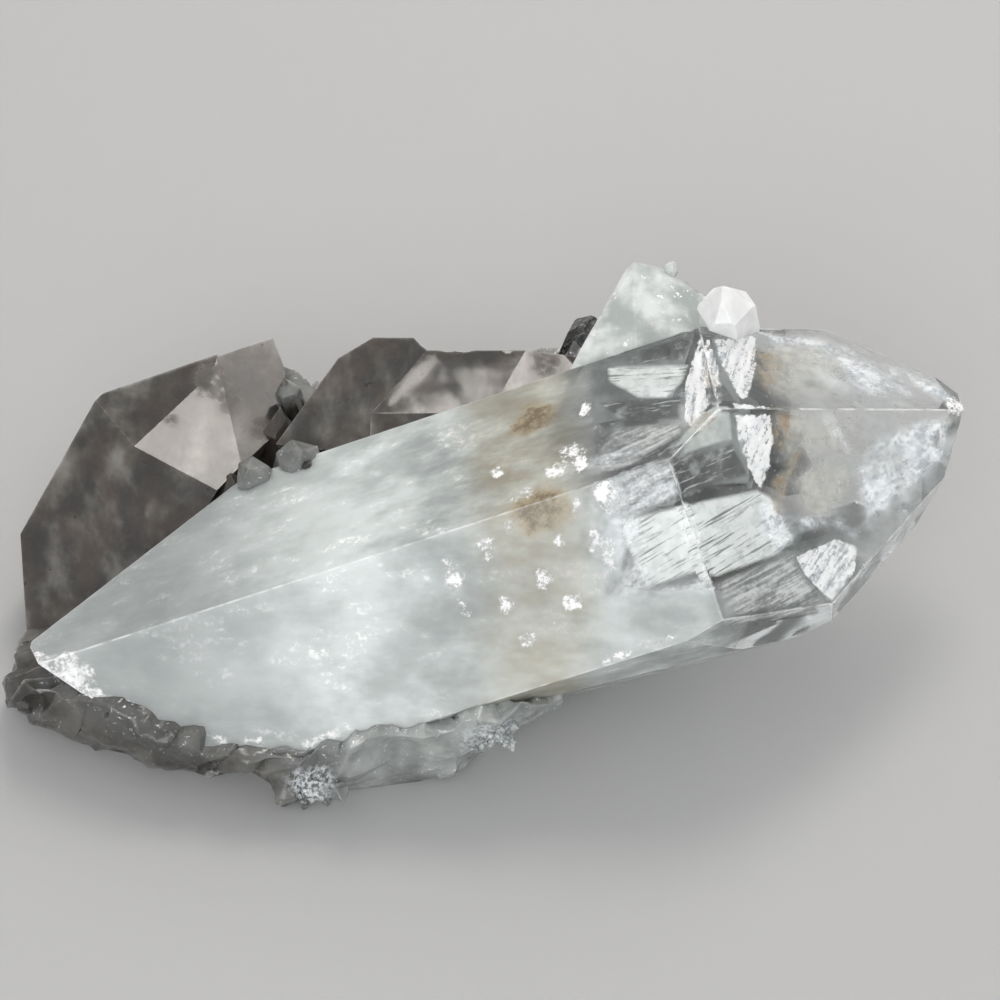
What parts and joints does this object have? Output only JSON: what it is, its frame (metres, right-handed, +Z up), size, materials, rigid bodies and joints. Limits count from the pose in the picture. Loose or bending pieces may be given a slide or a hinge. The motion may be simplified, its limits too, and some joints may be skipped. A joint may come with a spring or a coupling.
{
  "type": "quartz cluster",
  "caption": "Natural cluster of quartz crystals: a long cloudy to clear crystal on a broken milky root, with a stout smoky crystal at its left and smaller crystals behind.",
  "frame": {"origin": "under the middle of the cluster's box, on the surface it rests on", "axes": "+Z up, +X along the main crystal's length towards its tip, -Y at the front, where the main crystal's broad face is"},
  "size_m": [0.1244, 0.07, 0.0433],
  "materials": {
    "milky_root": "milky, broken and rough, with a waxy shine on its breaks",
    "main_quartz": "glossy, milky white at the root and clear towards the tip, with veils and rusty stains inside",
    "smoky_quartz": "glossy, grey-brown and half clear",
    "pale_quartz": "glossy, pale and cloudy, with bright flecks",
    "clear_quartz": "glossy and clear"
  },
  "bodies": {
    "root": {"root": "milky_root", "main_crystal": "main_quartz", "left_crystal": "smoky_quartz", "rear_crystal": "smoky_quartz", "rear_blade": "smoky_quartz", "upper_crystal": "pale_quartz", "clear_point": "clear_quartz", "side_point": "pale_quartz"}
  },
  "joints": []
}
